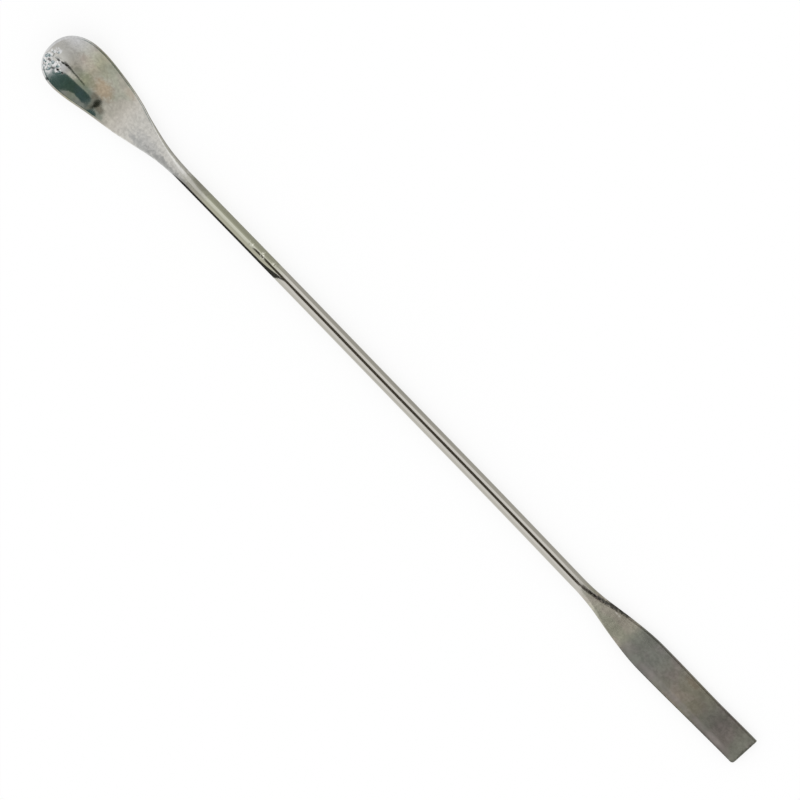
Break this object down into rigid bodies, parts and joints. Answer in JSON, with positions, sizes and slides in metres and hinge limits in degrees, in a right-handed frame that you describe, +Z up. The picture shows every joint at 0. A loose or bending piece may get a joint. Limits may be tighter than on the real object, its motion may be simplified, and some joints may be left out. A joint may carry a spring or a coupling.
{
  "type": "lab spatula",
  "caption": "Slim steel lab spatula: a round rod forged to a shallow upturned spoon at one end and to a flat, square-ended blade at the other.",
  "frame": {"origin": "centre of the resting spatula's footprint, on the surface it lies on", "axes": "+X runs along the rod from the bowl to the blade, +Z is up, out of the bowl's hollow, and Y is across the blade"},
  "size_m": [0.2252, 0.0148, 0.0055],
  "materials": {
    "polished_steel": "bright polished steel, a little yellowed, with fine scratches, a hammered bowl tip and a duller blade"
  },
  "bodies": {
    "root": {"spatula": "polished_steel"}
  },
  "joints": []
}
